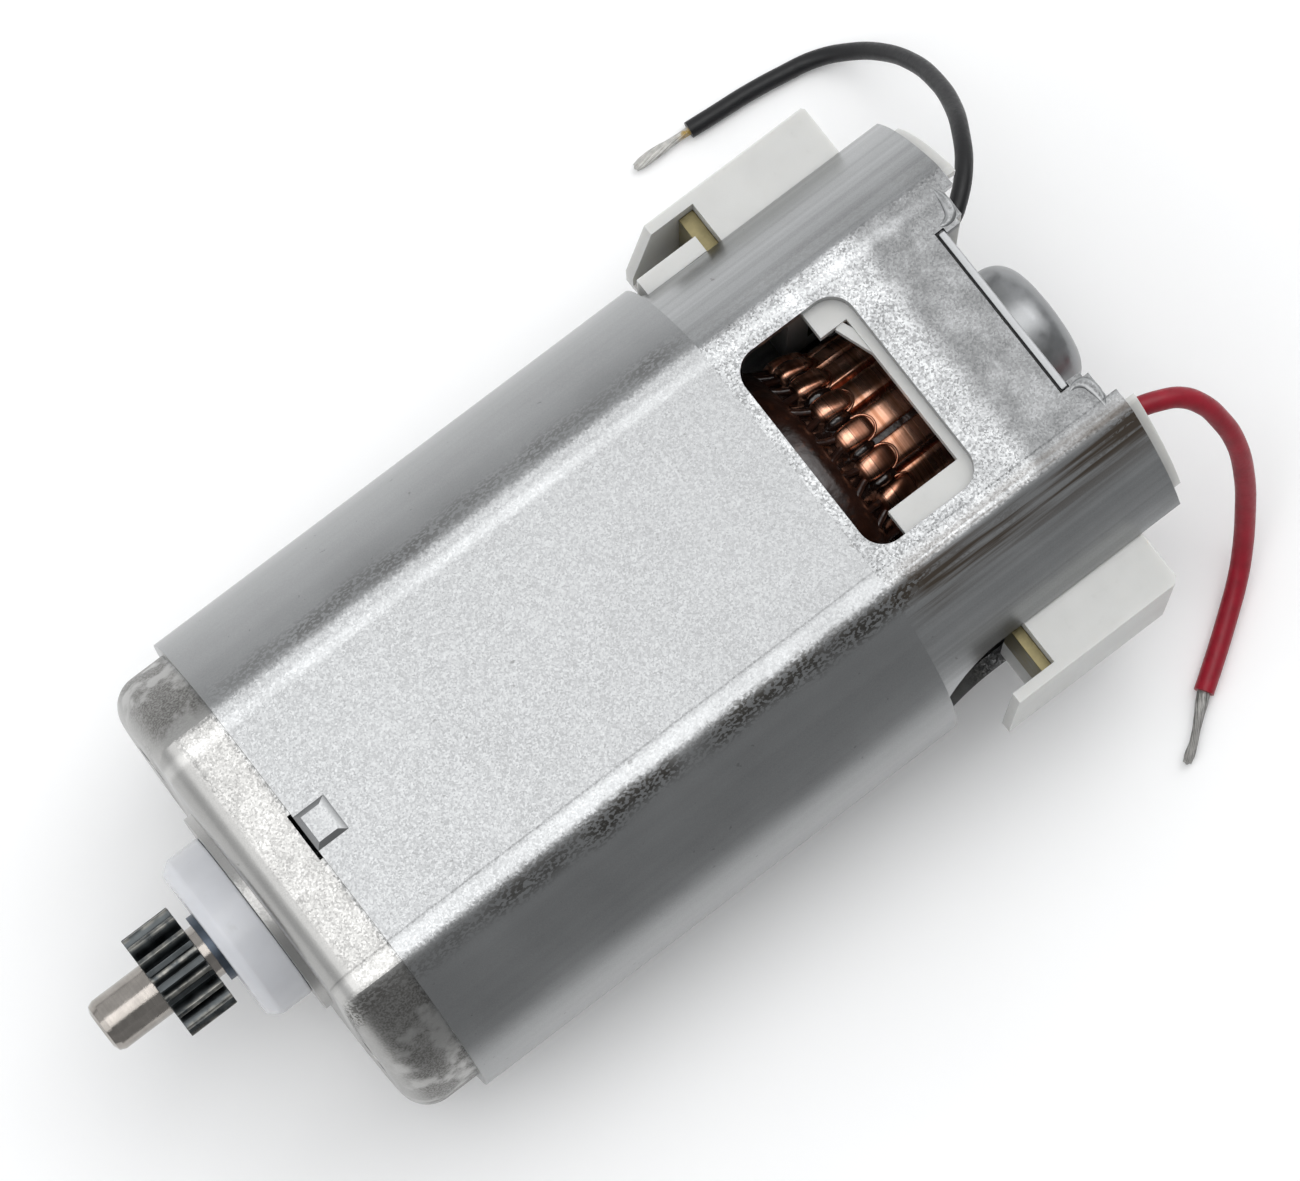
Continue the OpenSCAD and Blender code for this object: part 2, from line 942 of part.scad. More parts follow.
// Round-shouldered bundle of coil ends
module coil_ends(x0, x1) {
    spin() {
        translate([winding_root, x0 + winding_round])
            square([winding_r - winding_root, x1 - x0 - 2 * winding_round]);
        translate([winding_root, x0])
            square([winding_r - winding_root - winding_round, x1 - x0]);
        for (x = [x0 + winding_round, x1 - winding_round])
            translate([winding_r - winding_round, x])
                circle(winding_round);
    }
}

module windings() {
    color("saddlebrown") {
        coil_ends(core_x + sheet_t, winding_front_x);
        coil_ends(winding_rear_x, core_rear_x - sheet_t);
        along_x(core_rear_x - 2 * sheet_t, core_x + 2 * sheet_t)
            for (k = [0 : slots - 1])
                rotate(360 * (k + 0.5) / slots)
                    slot_shape(winding_gap);
    }
}

module commutator_hub() {
    color("sienna") {
        collar_ring(hub_rear_x, hub_x, comm_r - bar_t, shaft_r);
        collar_ring(hub_rear_x, bar_x, comm_r, shaft_r);
        collar_ring(hook_rear_x + hook_foot, hub_x, hub_collar_r, shaft_r);
    }
}

// Copper bars with the hooks that hold the coil wires
module commutator_bars() {
    color("peru") {
        difference() {
            collar_ring(bar_x, hook_rear_x + hook_foot, comm_r, comm_r - bar_t);
            for (k = [0 : bars - 1])
                rotate([bar_phase + 360 * k / bars, 0, 0])
                    translate([bar_x - 1, 0, -bar_gap / 2])
                        cube([big, big, bar_gap]);
        }
        for (k = [0 : bars - 1])
            rotate([bar_phase + 360 * (k + 0.5) / bars, 0, 0])
                translate([0, 0, -hook_w / 2])
                    linear_extrude(hook_w)
                        polygon([
                            [hook_rear_x + hook_drop, comm_r - hook_heel],
                            [hook_rear_x, comm_r],
                            [hook_rear_x + hook_heel, hook_r - hook_drop],
                            [hook_x + hook_front, hook_r],
                            [hook_x, hook_r - hook_drop],
                            [hook_x, hub_collar_r],
                            [hook_rear_x + hook_foot, hub_collar_r]
                        ]);
    }
}

module spacer_front() {
    color("ivory")
        collar_ring(winding_front_x + spacer_gap, spacer_x, spacer_r, shaft_r);
}

module thrust_washer_front() {
    color("ivory")
        collar_ring(washer_x, bush_rear_x - 2 * washer_gap, washer_r, bush_bore);
}

module thrust_washer_rear() {
    color("ivory")
        collar_ring(rear_washer_x, hub_rear_x - washer_gap, rear_washer_r, bush_bore);
}

can();
flux_ring();
magnet_left();
magnet_right();
magnet_clip_top();
magnet_clip_bottom();
front_collar();
front_bearing();
brush_carrier();
rear_plate();
rear_bearing();
bearing_retainer();
brush_tube_left();
brush_tube_right();
terminal_left();
terminal_right();
brush_spring_left();
brush_spring_right();
lead_black();
lead_red();
lead_tip_black();
lead_tip_red();
shaft();
pinion();
armature_core();
insulator_front();
insulator_rear();
windings();
commutator_hub();
commutator_bars();
spacer_front();
thrust_washer_front();
thrust_washer_rear();
brush_left();
brush_right();
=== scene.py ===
"""Looks of a flat-sided brushed DC motor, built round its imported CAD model."""

import math
import random

import bmesh
import bpy
from mathutils import Matrix, Vector


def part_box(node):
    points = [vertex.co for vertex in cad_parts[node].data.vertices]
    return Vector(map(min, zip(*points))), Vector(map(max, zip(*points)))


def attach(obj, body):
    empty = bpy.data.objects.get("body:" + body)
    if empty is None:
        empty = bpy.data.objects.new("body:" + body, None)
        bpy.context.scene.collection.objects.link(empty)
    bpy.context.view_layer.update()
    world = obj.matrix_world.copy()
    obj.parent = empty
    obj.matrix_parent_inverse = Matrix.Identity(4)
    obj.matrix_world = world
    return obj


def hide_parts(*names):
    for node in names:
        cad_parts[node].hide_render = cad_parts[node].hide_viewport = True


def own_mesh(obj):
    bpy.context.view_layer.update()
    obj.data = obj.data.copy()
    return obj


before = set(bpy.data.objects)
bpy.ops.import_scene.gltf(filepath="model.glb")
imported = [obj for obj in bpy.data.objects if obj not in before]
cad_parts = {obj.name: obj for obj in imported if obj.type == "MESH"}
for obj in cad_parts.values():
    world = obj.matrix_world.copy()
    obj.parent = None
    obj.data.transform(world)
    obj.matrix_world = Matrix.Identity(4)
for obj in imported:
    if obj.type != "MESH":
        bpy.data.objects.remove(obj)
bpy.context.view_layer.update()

# Lengths are in millimetres, and mm() or MM turns them into the frame's metres
MM = 0.001
FLOOR_Z = -15.35
SIDES = ((1, "left"), (-1, "right"))


def mm(*values):
    """A point or size in millimetres, in the frame's metres."""
    return Vector([v * MM for v in values])


# ---------------------------------------------------------------- camera


# The way back from the motor to the camera, the camera's right hand, and its place
VIEW_BACK = (0.0992, 0.1440, 0.9846)
VIEW_RIGHT = (-0.7935, 0.6085, -0.0090)
VIEW_PLACE = (8.38, 61.2, 427.7)
SENSOR_WIDTH = 36
FOCAL_LENGTH = 176.4


def make_camera():
    """The photograph's long-lens view, from above and a little to the left side."""
    back = Vector(VIEW_BACK).normalized()
    right = Vector(VIEW_RIGHT)
    right = (right - back * right.dot(back)).normalized()
    up = back.cross(right)
    data = bpy.data.cameras.new("camera")
    data.sensor_width = SENSOR_WIDTH
    data.lens = FOCAL_LENGTH
    data.clip_start = 0.01
    data.clip_end = 20
    camera = bpy.data.objects.new("camera", data)
    turn = Matrix((right, up, back)).transposed().to_4x4()
    camera.matrix_world = Matrix.Translation(mm(*VIEW_PLACE)) @ turn
    bpy.context.scene.collection.objects.link(camera)
    bpy.context.scene.camera = camera


make_camera()


# ---------------------------------------------------------------- leads

LEAD_DIAMETERS = {"black": 1.3, "red": 1.5}
# Centrelines from the carrier to the end of the insulation, as in part.scad
BLACK_ROUTE = [
    (-65.2, -8.6, 3.0), (-66.4, -8.8, 3.0), (-67.7, -9.6, 2.9), (-69.5, -11.3, 2.4),
    (-71.1, -13.6, 0.8), (-72.4, -16.1, -2.0), (-73.1, -18.7, -5.0), (-73.2, -21.2, -7.9),
    (-72.5, -23.6, -10.7), (-71.0, -25.6, -13.1), (-69.0, -26.9, -14.4), (-66.3, -27.5, -14.6),
    (-63.5, -27.9, -14.6), (-61.0, -28.1, -14.6), (-58.7, -28.3, -14.6),
]  # fmt: skip
RED_ROUTE = [
    (-65.2, 8.9, 3.0), (-66.8, 9.0, 3.0), (-68.4, 9.3, 3.0), (-69.9, 9.8, 2.9),
    (-71.2, 10.4, 2.4), (-72.3, 11.5, 1.3), (-73.0, 13.0, -0.6), (-73.3, 14.5, -2.8),
    (-73.0, 16.3, -6.1), (-72.0, 18.2, -9.8), (-70.3, 20.3, -12.8), (-69.1, 21.4, -13.7),
    (-67.8, 22.4, -14.2), (-65.0, 24.4, -14.5), (-62.6, 26.0, -14.5),
]  # fmt: skip


def swept(name, routes, radius, sides=2, smooth=6):
    """A mesh of round wires along smooth curves, or of the bare lines if radius is 0."""
    curve = bpy.data.curves.new(name, "CURVE")
    curve.dimensions = "3D"
    curve.bevel_depth = radius * MM
    curve.bevel_resolution = sides
    curve.resolution_u = smooth
    curve.use_fill_caps = True
    for route in routes:
        spline = curve.splines.new("BEZIER")
        spline.bezier_points.add(len(route) - 1)
        for knot, point in zip(spline.bezier_points, route):
            knot.co = point
            knot.handle_left_type = knot.handle_right_type = "AUTO"
    guide = bpy.data.objects.new(name, curve)
    bpy.context.scene.collection.objects.link(guide)
    evaluated = guide.evaluated_get(bpy.context.evaluated_depsgraph_get())
    mesh = bpy.data.meshes.new_from_object(evaluated)
    bpy.data.objects.remove(guide)
    bpy.data.curves.remove(curve)
    mesh.name = name
    return mesh


def smooth_line(knots):
    """The points along one smooth curve through the knots."""
    return [vertex.co.copy() for vertex in swept("line", [knots], 0).vertices]


leads, lead_paths = {}, {}
for colour, route in (("black", BLACK_ROUTE), ("red", RED_ROUTE)):
    knots = [mm(*point) for point in route]
    tube = swept("lead", [knots], LEAD_DIAMETERS[colour] / 2, 5)
    lead = bpy.data.objects.new(f"{colour}_insulation", tube)
    bpy.context.scene.collection.objects.link(lead)
    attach(lead, "stator")
    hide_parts(f"lead_{colour}")
    leads[colour] = lead
    lead_paths[colour] = smooth_line(knots)


# ---------------------------------------------------------------- floor and light


# The floor, in metres: half its width, how far it is level, and how fast it then rises
FLOOR_HALF = 1.6
FLOOR_LEVEL = 0.9
FLOOR_RISE = 0.25
# The grey card, in metres: its near and far edge, and how high it reaches
CARD_NEAR, CARD_FAR = 0.042, 0.26
CARD_LOW, CARD_HIGH = FLOOR_Z * MM + 0.001, 0.14
STUDIO_WHITE = (0.80, 0.81, 0.82)
STUDIO_GREY = (0.33, 0.335, 0.34)
# Where the sky stops being white and is all grey, from 0 on the right to 1 on the left
WHITE_TO, GREY_FROM = 0.38, 0.66
LIGHT_TARGET = (-30, 0, 0)
# Each light's name, place, size in metres and power in watts
SOFT_LIGHTS = [
    ("overhead_softbox", (-110, -50, 620), (0.46, 0.58), 1.36),
    ("rear_softbox", (-480, -60, 540), (0.5, 0.5), 0.9),
    ("front_softbox", (330, 20, 520), (0.46, 0.62), 1.05),
]


def make_floor():
    """A pale studio floor that rises in a soft curve far from the motor."""
    mesh = bpy.data.meshes.new("studio_floor")
    bm = bmesh.new()
    bmesh.ops.create_grid(bm, x_segments=24, y_segments=24, size=FLOOR_HALF)
    for vertex in bm.verts:
        reach = max(0.0, vertex.co.length - FLOOR_LEVEL)
        vertex.co.z = FLOOR_Z * MM + FLOOR_RISE * reach * reach
    bm.to_mesh(mesh)
    bm.free()
    mesh.polygons.foreach_set("use_smooth", [True] * len(mesh.polygons))
    floor = bpy.data.objects.new("studio_floor", mesh)
    bpy.context.scene.collection.objects.link(floor)
    return floor


def soft_light(name, place, size, watts):
    """A rectangular area light aimed at the motor."""
    data = bpy.data.lights.new(name, "AREA")
    data.shape = "RECTANGLE"
    data.size, data.size_y = size
    data.energy = watts
    light = bpy.data.objects.new(name, data)
    light.location = mm(*place)
    aim = light.location - mm(*LIGHT_TARGET)
    light.rotation_mode = "QUATERNION"
    light.rotation_quaternion = aim.to_track_quat("Z", "Y")
    bpy.context.scene.collection.objects.link(light)


def make_world():
    """A plain studio sky that is darker on the left side than on the right."""
    world = bpy.data.worlds.new("studio")
    world.use_nodes = True
    nodes, links = world.node_tree.nodes, world.node_tree.links
    background = nodes["Background"]
    place = nodes.new("ShaderNodeTexCoord")
    split = nodes.new("ShaderNodeSeparateXYZ")
    spread = nodes.new("ShaderNodeMapRange")
    ramp = nodes.new("ShaderNodeValToRGB")
    links.new(place.outputs["Generated"], split.inputs[0])
    links.new(split.outputs["Y"], spread.inputs[0])
    spread.inputs[1].default_value, spread.inputs[2].default_value = -1, 1
    links.new(spread.outputs[0], ramp.inputs[0])
    links.new(ramp.outputs[0], background.inputs["Color"])
    right, left = ramp.color_ramp.elements
    right.position, right.color = WHITE_TO, (*STUDIO_WHITE, 1)
    left.position, left.color = GREY_FROM, (*STUDIO_GREY, 1)
    bpy.context.scene.world = world


def make_grey_card():
    """A grey card beside the set that only the metal's reflections see."""
    corners = [
        (-0.26, CARD_NEAR, CARD_LOW), (0.16, CARD_NEAR, CARD_LOW),
        (0.20, CARD_FAR, CARD_HIGH), (-0.30, CARD_FAR, CARD_HIGH),
    ]  # fmt: skip
    bm = bmesh.new()
    bm.faces.new([bm.verts.new(corner) for corner in corners])
    mesh = bpy.data.meshes.new("grey_card")
    bm.to_mesh(mesh)
    bm.free()
    card = bpy.data.objects.new("grey_card", mesh)
    bpy.context.scene.collection.objects.link(card)
    card.visible_camera = card.visible_diffuse = card.visible_shadow = False
    return card


floor = make_floor()
card = make_grey_card()
make_world()
for light_settings in SOFT_LIGHTS:
    soft_light(*light_settings)
bpy.context.scene.view_settings.view_transform = "Standard"


# ---------------------------------------------------------------- shader helper

# The lowest and highest value that a noise texture often takes
NOISE_RANGE = (0.3, 0.7)


class Shader:
    """One Principled material, with short ways to add nodes and join them."""

    def __init__(self, name, **settings):
        self.material = bpy.data.materials.new(name)
        self.material.use_nodes = True
        self.nodes = self.material.node_tree.nodes
        self.links = self.material.node_tree.links
        self.bsdf = self.nodes["Principled BSDF"]
        self.place = self.nodes.new("ShaderNodeTexCoord")
        for socket, value in settings.items():
            self.set(socket.title(), value)

    def set(self, socket, value):
        """Sets or links one socket of the Principled shader."""
        self.feed(self.bsdf.inputs[socket], value)

    def feed(self, socket, value):
        """Links a socket to another one, or sets it to a colour or number."""
        if isinstance(value, bpy.types.NodeSocket):
            self.links.new(value, socket)
        elif isinstance(value, (tuple, list)) and socket.type == "RGBA":
            socket.default_value = (*value, 1)
        else:
            socket.default_value = value

    def add(self, kind, inputs, output=0, **options):
        """A new node with its options and inputs set; gives back one of its outputs."""
        node = self.nodes.new("ShaderNode" + kind)
        for option, value in options.items():
            setattr(node, option, value)
        for socket, value in inputs.items():
            self.feed(node.inputs[socket], value)
        return node.outputs[output]

    def point(self, stretch=(1, 1, 1)):
        """Where the surface is, in millimetres, squeezed along each axis by stretch."""
        scale = [s / MM for s in stretch]
        inputs = {0: self.place.outputs["Object"], 1: scale}
        return self.add("VectorMath", inputs, operation="MULTIPLY")

    def axes(self, vector=None):
        """The three parts of a vector, the place in millimetres if none is given."""
        node = self.nodes.new("ShaderNodeSeparateXYZ")
        self.feed(node.inputs[0], vector or self.point())
        return node.outputs

    def math(self, operation, a, b=0.5):
        """One Math node's result."""
        return self.add("Math", {0: a, 1: b}, operation=operation)

    def times(self, first, *others):
        """The product of two or more values."""
        for other in others:
            first = self.math("MULTIPLY", first, other)
        return first

    def plus(self, first, *others):
        """The sum of two or more values."""
        for other in others:
            first = self.math("ADD", first, other)
        return first

    def blend(self, factor, a, b):
        """Value a turning into value b."""
        return self.add("Mix", {0: factor, 2: a, 3: b})

    def spread(self, value, low, high, to_low=0.0, to_high=1.0):
        """Maps low..high of a value to to_low..to_high, held at both ends."""
        span = {0: value, 1: low, 2: high, 3: to_low, 4: to_high}
        return self.add("MapRange", span)

    def vary(self, noise, to_low, to_high):
        """Maps the values that noise mostly takes to to_low..to_high."""
        return self.spread(noise, *NOISE_RANGE, to_low, to_high)

    def band(self, value, centre, half, edge):
        """1 inside centre plus or minus half, falling to 0 over edge."""
        away = self.math("ABSOLUTE", self.math("SUBTRACT", value, centre))
        return self.spread(away, half, half + edge, 1.0, 0.0)

    def noise(self, scale, detail=2.0, stretch=(1, 1, 1), warp=0.0, output=0):
        """Cloudy noise with scale waves in a millimetre."""
        inputs = {"Vector": self.point(stretch), "Scale": scale}
        inputs |= {"Detail": detail, "Distortion": warp}
        return self.add("TexNoise", inputs, output)

    def mix(self, factor, a, b, blend="MIX"):
        """Colour a turning into colour b."""
        inputs = {0: factor, 6: a, 7: b}
        return self.add("Mix", inputs, 2, data_type="RGBA", blend_type=blend)

    def scale_colour(self, colour, value):
        """A colour made brighter or darker by a value."""
        grey = self.add("CombineColor", {0: value, 1: value, 2: value})
        return self.mix(1.0, colour, grey, "MULTIPLY")

    def bump(self, height, depth):
        """Raises the surface by height times depth in millimetres."""
        inputs = {"Height": height, "Distance": depth * MM, "Strength": 1.0}
        return self.add("Bump", inputs)

    def facets(self, tint, amount):
        """The surface normal, leaned a little at random in each crystal or grain."""
        lean = self.add("VectorMath", {0: tint, 1: (0.5, 0.5, 0.5)}, operation="SUBTRACT")
        lean = self.add("VectorMath", {0: lean, "Scale": amount}, operation="SCALE")
        normal = self.add("NewGeometry", {}, "Normal")
        leaned = self.add("VectorMath", {0: normal, 1: lean}, operation="ADD")
        return self.add("VectorMath", {0: leaned}, operation="NORMALIZE")


# ---------------------------------------------------------------- metals

# Places along X: just inside the flux ring's ends, just past it, and at the can's face
RING_REAR, RING_FRONT = -44.0, -6.0
PAST_RING, FRONT_FACE = -5.3, -0.9
# The window's middle along X, and half its length and width
WINDOW_X, WINDOW_HALF_X, WINDOW_HALF_Y = -51.1, 4.5, 8.0
# Places along Y: the crease beside the flats, drawn as a painted shade line, and the scuffed
# line on the bends
CREASE_SHADE_Y = 8.85
SCUFF_Y = 11.1
# Crystals in a millimetre
GRAIN_SCALE = 8.0
# Tone of the round sides, and how clearly the streaks of deep drawing show on them
CAN_ROUND_TONE, CAN_STREAKS = 0.395, 0.10
RING_ROUND_TONE, RING_STREAKS = 0.33, 0.03
RING_CONTRAST = 0.38


def ring_zones(s, x, _y, _side):
    """Tones of the flats and of the round sides, grain, drawing streaks and grime."""
    tone = s.spread(x, RING_REAR, RING_FRONT, 0.305, 0.34)
    return tone, RING_ROUND_TONE, RING_CONTRAST, RING_STREAKS, 0.0


def can_zones(s, x, y, side):
    """The can is bright in front, spangled round its window and dull behind it."""
    beside = s.math("SUBTRACT", side, WINDOW_HALF_Y)
    from_window = s.math("ABSOLUTE", s.plus(x, -WINDOW_X))
    behind = s.math("SUBTRACT", from_window, WINDOW_HALF_X)
    wobble = s.vary(s.noise(0.25, 2.0), -0.5, 0.5)
    away = s.plus(s.math("MAXIMUM", beside, behind), wobble)
    spangled = s.spread(away, 2.2, 3.6, 1.0, 0.0)
    front = s.spread(x, -12.0, RING_FRONT)
    wear_and_painted_highlight = s.spread(s.noise(0.4, 5.0, warp=0.5), 0.42, 0.62, 0.0, 0.07)
    tone = s.plus(s.times(spangled, 0.14), s.times(front, 0.19), wear_and_painted_highlight, 0.155)
    contrast = s.plus(0.55, s.times(spangled, 0.40))

    patch = s.spread(s.noise(0.5, 4.0), 0.38, 0.50)
    speckle = s.spread(s.noise(7.0, 6.0), 0.40, 0.60, 0.45, 1.0)
    off_face = s.spread(x, FRONT_FACE, -2.0, 0.25, 1.0)
    corner = s.times(s.spread(side, 10.4, 11.6), front, off_face)
    grime = s.times(patch, speckle, corner)
    smear = s.spread(s.noise(2.0, 5.0, stretch=(0.04, 1.0, 1.0)), 0.40, 0.56, 0.15, 1.3)
    stain = s.times(s.band(y, 11.3, 0.5, 1.9), s.spread(x, -45.0, -48.0))
    grime = s.math("MAXIMUM", grime, s.times(stain, smear))
    return tone, CAN_ROUND_TONE, contrast, CAN_STREAKS, grime


def scratch(s, x, y, centre, radius, reach):
    """A hair-thin arc of a scratch, seen only within reach of its middle."""
    dx, dy = s.math("SUBTRACT", x, centre[0]), s.math("SUBTRACT", y, centre[1])
    away = s.math("SQRT", s.plus(s.times(dx, dx), s.times(dy, dy)))
    along = s.math("ABSOLUTE", dy)
    line = s.times(s.band(away, radius, 0.03, 0.06), s.spread(along, reach, reach * 0.4))
    return s.times(line, s.spread(dx, -0.2, 0.2, 1.0, 0.0))


def zinc_steel(name, zones=ring_zones, scratches=()):
    """Zinc-plated sheet: sparkling grain on the flats, scuffed at the bends, with a painted
    highlight, partly burnish, and a painted crease shade along the edges of the flats.
    """
    s = Shader(name, metallic=1.0)
    x, y, _ = s.axes()
    side = s.math("ABSOLUTE", y)
    tone, round_tone, contrast, drawn, grime = zones(s, x, y, side)
    upward = s.math("ABSOLUTE", s.axes(s.place.outputs["Normal"])[2])
    flat = s.spread(upward, 0.93, 0.995)
    round_side = s.math("SUBTRACT", 1.0, flat)

    # Grain, clouds and the streaks that deep drawing left
    drift = {0: s.noise(6.0, 2.0, output="Color"), "Scale": 0.16}
    drift = s.add("VectorMath", drift, operation="SCALE")
    place = s.add("VectorMath", {0: s.point(), 1: drift}, operation="ADD")
    grain = s.add("TexVoronoi", {"Vector": place, "Scale": GRAIN_SCALE}, "Color")
    speck = s.math("SUBTRACT", s.axes(grain)[0], 0.5)
    cloud = s.noise(0.14, 3.0)
    fine = s.noise(14.0, 3.0)
    streak = s.noise(1.0, 6.0, stretch=(0.012, 1.5, 1.5))
    lift = s.times(speck, contrast, flat)
    lift = s.plus(lift, s.vary(fine, -0.09, 0.09))
    lift = s.plus(lift, s.vary(cloud, 0.91, 1.05))
    groove = s.times(s.spread(streak, 0.35, 0.65, -1.0, 0.9), drawn)
    groove = s.times(groove, s.spread(x, -4.0, -9.0))
    lift = s.plus(lift, s.times(groove, round_side))

    # Painted highlight bands along the edges of the flats, partly burnish, a painted shade line
    # along the crease beside them, and single scratches
    wear_and_painted_highlight = s.plus(s.band(y, 9.75, 0.45, 0.35), s.band(y, -9.0, 0.2, 0.35))
    lift = s.plus(lift, s.times(wear_and_painted_highlight, s.spread(cloud, 0.3, 0.6, 0.12, 0.34)))
    lift = s.plus(lift, s.times(s.band(y, CREASE_SHADE_Y, 0.03, 0.07), -0.25))
    for line in scratches:
        lift = s.plus(lift, s.times(scratch(s, x, y, *line), 0.14))

    # Dark flecks where the bends rubbed, pits, and grime
    scuff_line = s.plus(side, s.vary(s.noise(0.2, 2.0), -0.3, 0.3))
    scuff_band = s.band(scuff_line, SCUFF_Y, 0.3, 0.8)
    flecks = s.spread(s.noise(5.0, 8.0, stretch=(0.6, 1, 1)), 0.46, 0.52)
    patches = s.spread(s.noise(0.11, 2.0, stretch=(1, 0.4, 0.4)), 0.34, 0.54)
    far_side = s.spread(x, -46.0, -43.0, 0.1, 0.45)
    amount = s.blend(s.spread(y, -1.0, 1.0), far_side, 0.92)
    scuff = s.times(scuff_band, flecks, patches, amount)
    pit = s.spread(s.noise(1.6, 6.0), 0.71, 0.74)
    dirt = s.math("MAXIMUM", scuff, s.times(pit, 0.3))
    dirt = s.math("MAXIMUM", dirt, s.times(grime, 0.70))

    shade = s.times(s.blend(flat, round_tone, tone), lift)
    warm = s.spread(x, PAST_RING - 0.3, PAST_RING)
    tint = s.mix(warm, (0.985, 1.0, 1.01), (1.01, 1.0, 0.975))
    plate = s.scale_colour(tint, shade)
    oily = s.mix(s.spread(x, -44.0, -48.0), (0.055, 0.051, 0.044), (0.085, 0.062, 0.042))
    s.set("Base Color", s.mix(dirt, plate, oily))
    rough = s.vary(cloud, 0.28, 0.36)
    s.set("Roughness", s.plus(rough, s.times(dirt, 0.25)))
    s.set("Normal", s.facets(grain, s.plus(0.02, s.times(flat, 0.15))))
    return s.material


def plain_metal(name, colour, rough=0.4, mottle=0.25, lines=0.0):
    """A bare or oiled metal with soft mottling and, where it was turned, fine rings."""
    s = Shader(name, metallic=1.0)
    cloud = s.noise(1.2, 4.0)
    rings = s.noise(6.0, 3.0, stretch=(1.0, 0.02, 0.02))
    tone = s.vary(cloud, 1 - mottle, 1 + mottle)
    tone = s.times(tone, s.vary(rings, 1 - lines, 1 + lines))
    s.set("Base Color", s.scale_colour(colour, tone))
    s.set("Roughness", s.vary(cloud, rough - 0.06, rough + 0.08))
    s.set("Normal", s.bump(s.noise(12.0, 3.0), 0.006))
    return s.material


def gear_steel():
    """Dark oiled steel, rubbed bright along the tips of the teeth."""
    s = Shader("gear_steel", metallic=1.0)
    _, y, z = s.axes()
    reach = s.math("SQRT", s.plus(s.times(y, y), s.times(z, z)))
    rubbed = s.times(s.spread(reach, 3.82, 4.0), s.spread(s.noise(1.6, 4.0), 0.35, 0.6))
    cloud = s.noise(0.9, 4.0)
    tone = s.mix(rubbed, (0.075, 0.082, 0.085), (0.23, 0.225, 0.205))
    s.set("Base Color", s.scale_colour(tone, s.vary(cloud, 0.7, 1.3)))
    s.set("Roughness", s.vary(cloud, 0.26, 0.42))
    s.set("Normal", s.bump(s.noise(3.0, 4.0, stretch=(0.2, 3, 3)), 0.01))
    return s.material


def copper(name, dark, bright, rough):
    """Copper with rings of brush wear round the shaft."""
    s = Shader(name, metallic=1.0)
    rings = s.noise(2.2, 4.0, stretch=(1.0, 0.03, 0.03))
    scores = s.spread(s.noise(5.0, 2.0, stretch=(1.0, 0.01, 0.01)), 0.62, 0.66)
    cloud = s.noise(1.1, 3.0)
    tone = s.mix(s.spread(rings, 0.38, 0.62), dark, bright)
    tone = s.scale_colour(tone, s.vary(cloud, 0.75, 1.1))
    s.set("Base Color", s.mix(s.times(scores, 0.6), tone, (0.12, 0.05, 0.03)))
    s.set("Roughness", s.vary(rings, rough + 0.1, rough))
    s.set("Normal", s.bump(rings, 0.02))
    return s.material


def varnish(name, colour, rough=0.12):
    """Thick dark varnish that has run and pooled."""
    s = Shader(name, roughness=rough)
    s.set("Coat Weight", 0.25)
    s.set("Coat Roughness", 0.12)
    cloud = s.noise(0.9, 4.0)
    thin = s.spread(s.noise(1.7, 4.0), 0.58, 0.70)
    tone = s.scale_colour(colour, s.vary(cloud, 0.5, 1.4))
    s.set("Base Color", s.mix(s.times(thin, 0.22), tone, (0.16, 0.05, 0.02)))
    s.set("Normal", s.bump(s.noise(1.4, 3.0), 0.08))
    return s.material


def plastic(name, colour, rough=0.42, subsurface=0.15, grain=0.006):
    """Moulded plastic with a faint mottle and a fine grain."""
    s = Shader(name, roughness=rough)
    s.set("Subsurface Weight", subsurface)
    s.set("Subsurface Radius", (1.1 * MM, 1.05 * MM, 0.95 * MM))
    s.set("Subsurface Scale", 1.0)
    cloud = s.noise(0.4, 3.0)
    smudge = s.spread(s.noise(1.3, 5.0), 0.64, 0.76, 0.0, 0.12)
    tone = s.scale_colour(colour, s.vary(cloud, 0.96, 1.02))
    s.set("Base Color", s.mix(smudge, tone, (0.35, 0.34, 0.31)))
    s.set("Normal", s.bump(s.noise(7.0, 2.0), grain))
    return s.material


def insulation(name, colour):
    """Satin PVC with faint handling marks."""
    s = Shader(name)
    s.set("Specular IOR Level", 0.35)
    cloud = s.noise(1.0, 3.0)
    s.set("Base Color", s.scale_colour(colour, s.vary(cloud, 0.85, 1.15)))
    s.set("Roughness", s.vary(s.noise(3.0, 3.0), 0.34, 0.5))
    s.set("Normal", s.bump(s.noise(6.0, 2.0), 0.01))
    return s.material


def tinned(name, lightness, flux_x):
    """Dull solder over copper strands, with a trace of flux behind flux_x."""
    s = Shader(name, metallic=0.85)
    x = s.axes()[0]
    near = s.spread(x, flux_x, flux_x - 0.8)
    flux = s.times(near, s.spread(s.noise(1.8, 2.0), 0.40, 0.55))
    cloud = s.noise(2.0, 4.0)
    shade = s.vary(cloud, 0.75 * lightness, 1.2 * lightness)
    tone = s.scale_colour((1.0, 0.98, 0.94), shade)
    s.set("Base Color", s.mix(flux, tone, (0.36, 0.25, 0.08)))
    s.set("Roughness", s.vary(cloud, 0.3, 0.5))
    s.set("Normal", s.bump(s.noise(4.0, 3.0), 0.04))
    return s.material


def paper_floor():
    """White backdrop paper."""
    s = Shader("studio_paper", roughness=0.9)
    grain = s.noise(0.05, 2.0)
    shade = s.vary(grain, 0.99, 1.0)
    s.set("Base Color", s.scale_colour((0.97, 0.97, 0.97), shade))
    return s.material


def grey_paint():
    """An even grey that no light or shadow changes."""
    s = Shader("grey_paint", roughness=1.0)
    s.set("Base Color", (0, 0, 0))
    s.set("Emission Color", STUDIO_GREY)
    s.set("Emission Strength", 1.0)
    return s.material


CAN = zinc_steel("can_zinc", can_zones)
